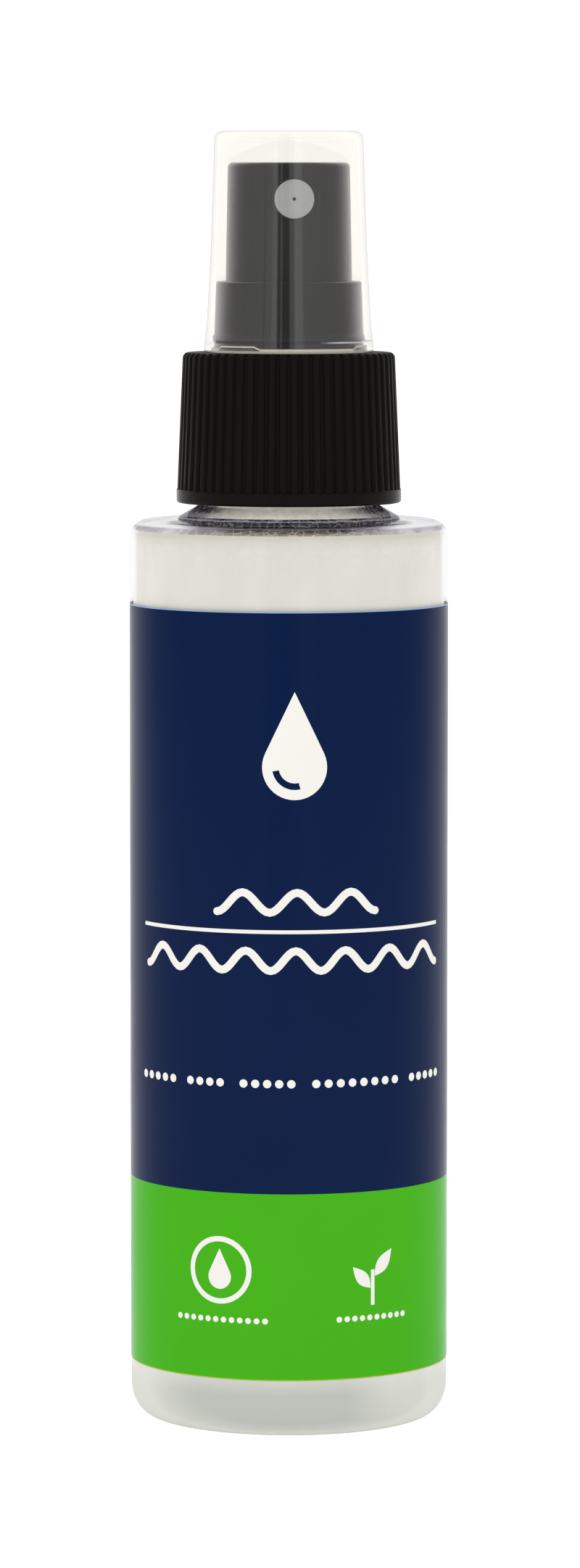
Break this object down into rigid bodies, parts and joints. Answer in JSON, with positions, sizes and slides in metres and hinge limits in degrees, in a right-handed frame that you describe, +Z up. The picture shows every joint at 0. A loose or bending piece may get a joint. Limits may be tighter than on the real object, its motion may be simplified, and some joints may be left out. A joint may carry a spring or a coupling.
{
  "type": "lens cleaning spray",
  "caption": "Round clear bottle of lens cleaner with wrap-round label, ribbed screw closure, fine-mist finger pump and see-through overcap.",
  "frame": {"origin": "centre of the standing ring at the bottle's base, on the bottle's axis", "axes": "+Z up along the bottle's axis, -Y towards the label's front; the nozzle points 5.4 degrees to +X of the front"},
  "size_m": [0.0388, 0.0388, 0.1566],
  "materials": {
    "clear_pet": "gloss",
    "label_film": "gloss",
    "cleaning_liquid": "gloss",
    "natural_pe": "satin",
    "white_pp": "satin",
    "polished_steel": "polished",
    "spring_steel": "drawn wire",
    "seal_rubber": "matte",
    "dark_pp": "satin",
    "foam_pe": "matte",
    "black_pp": "satin",
    "grey_acetal": "satin",
    "clear_pp": "gloss"
  },
  "bodies": {
    "bottle": {"bottle": "clear_pet", "label": "label_film", "liquid": "cleaning_liquid"},
    "pump": {"pump_housing": "white_pp", "turret": "dark_pp", "stem_seal": "seal_rubber", "neck_gasket": "foam_pe", "dip_tube": "natural_pe", "return_spring": "spring_steel"},
    "closure": {"closure": "black_pp"},
    "overcap": {"overcap": "clear_pp"},
    "plunger": {"spring_follower": "white_pp"},
    "head": {"stem": "white_pp", "actuator": "black_pp", "nozzle_insert": "grey_acetal"},
    "piston": {"piston": "natural_pe"},
    "ball": {"inlet_ball": "polished_steel"}
  },
  "joints": [
    {"name": "pump_lift", "type": "slide", "parent": "bottle", "child": "pump", "axis": [0, 0, 1], "range_m": [0, 0.00477]},
    {"name": "closure_turn", "type": "hinge", "parent": "pump", "child": "closure", "pos_m": [0, 0, 0.1205], "axis": [0, 0, 1], "range_deg": [0, 540]},
    {"name": "overcap_pull", "type": "slide", "parent": "closure", "child": "overcap", "axis": [0, 0, 1], "range_m": [0, 0.035]},
    {"name": "press", "type": "slide", "parent": "pump", "child": "plunger", "axis": [0, 0, -1], "range_m": [0, 0.0045], "stiffness_N_per_m": 900, "springref_m": -0.0045, "deforming": ["return_spring"]},
    {"name": "head_turn", "type": "hinge", "parent": "plunger", "child": "head", "pos_m": [0, 0, 0.14], "axis": [0, 0, 1], "continuous": true},
    {"name": "piston_stroke", "type": "slide", "parent": "pump", "child": "piston", "axis": [0, 0, -1], "range_m": [0, 0.004]},
    {"name": "ball_lift", "type": "slide", "parent": "pump", "child": "ball", "axis": [0, 0, 1], "range_m": [0, 0.0008]}
  ],
  "couplings": [
    {"joint": "pump_lift", "follows": "closure_turn", "m_per_rad": 0.00050532},
    {"joint": "piston_stroke", "follows": "press", "ratio": 0.87}
  ]
}
